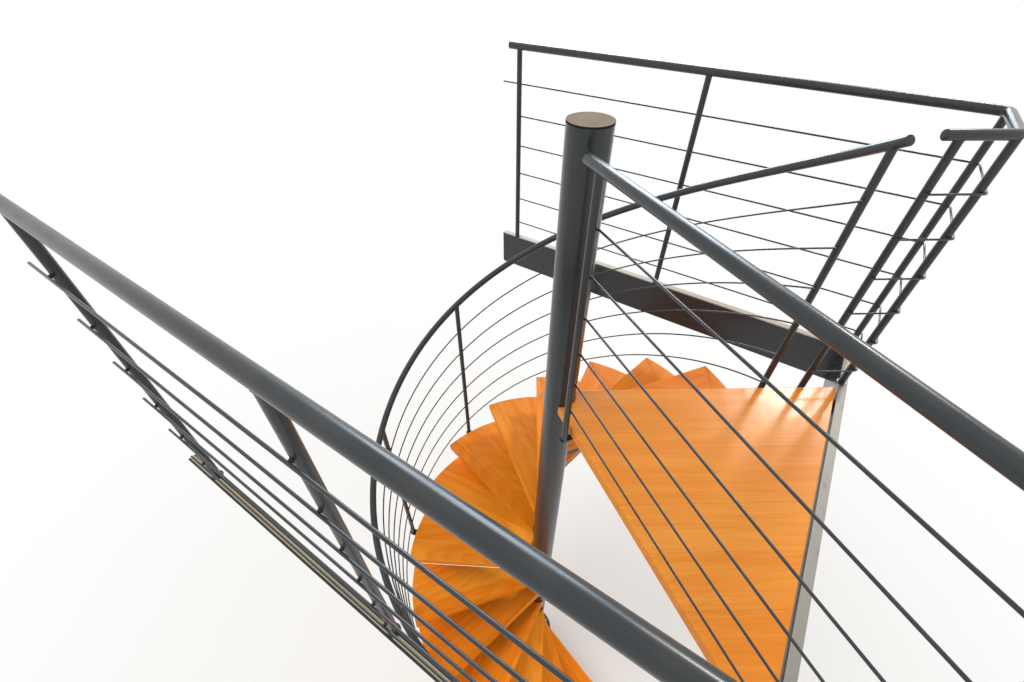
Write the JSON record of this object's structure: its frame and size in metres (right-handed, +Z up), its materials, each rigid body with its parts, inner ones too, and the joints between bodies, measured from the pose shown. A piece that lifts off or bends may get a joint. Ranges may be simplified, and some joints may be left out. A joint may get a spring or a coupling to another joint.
{
  "type": "spiral staircase with landing and floor-opening guards",
  "caption": "Open-riser spiral stair winding round a central column, with a wedge-shaped landing, a helical rod guard and straight rod guards round the floor opening.",
  "frame": {"origin": "centre of the column on the underside of the base plate, at the lower floor", "axes": "+Z up the column, +X from the column towards the open east side of the landing, +Y towards the far side of the floor opening"},
  "size_m": [1.934, 2.018, 4.063],
  "materials": {
    "steel": "satin anthracite paint",
    "tube_steel": "satin anthracite paint on round tube and rod",
    "tread_wood": "oiled hardwood staves",
    "landing_wood": "lacquered hardwood staves",
    "threshold": "matt anodised",
    "trim": "cream edge trim"
  },
  "bodies": {
    "root": {"base_plate": "steel", "column": "steel", "column_cap": "steel", "tread_brackets": "steel", "landing_joist_north": "steel", "landing_joist_south": "steel", "fascia_north": "steel", "fascia_south": "steel", "fascia_east": "steel", "north_handrail": "tube_steel", "north_posts": "tube_steel", "north_rods": "tube_steel", "south_handrail": "tube_steel", "south_posts": "tube_steel", "south_rods": "tube_steel", "spiral_handrail": "tube_steel", "spiral_posts": "tube_steel", "spiral_rods": "tube_steel", "tread_01": "tread_wood", "tread_02": "tread_wood", "tread_03": "tread_wood", "tread_04": "tread_wood", "tread_05": "tread_wood", "tread_06": "tread_wood", "tread_07": "tread_wood", "tread_08": "tread_wood", "tread_09": "tread_wood", "tread_10": "tread_wood", "tread_11": "tread_wood", "tread_12": "tread_wood", "tread_13": "tread_wood", "tread_14": "tread_wood", "landing_board": "landing_wood", "threshold_strip": "threshold", "trim_north": "trim", "trim_south": "trim"}
  },
  "joints": []
}
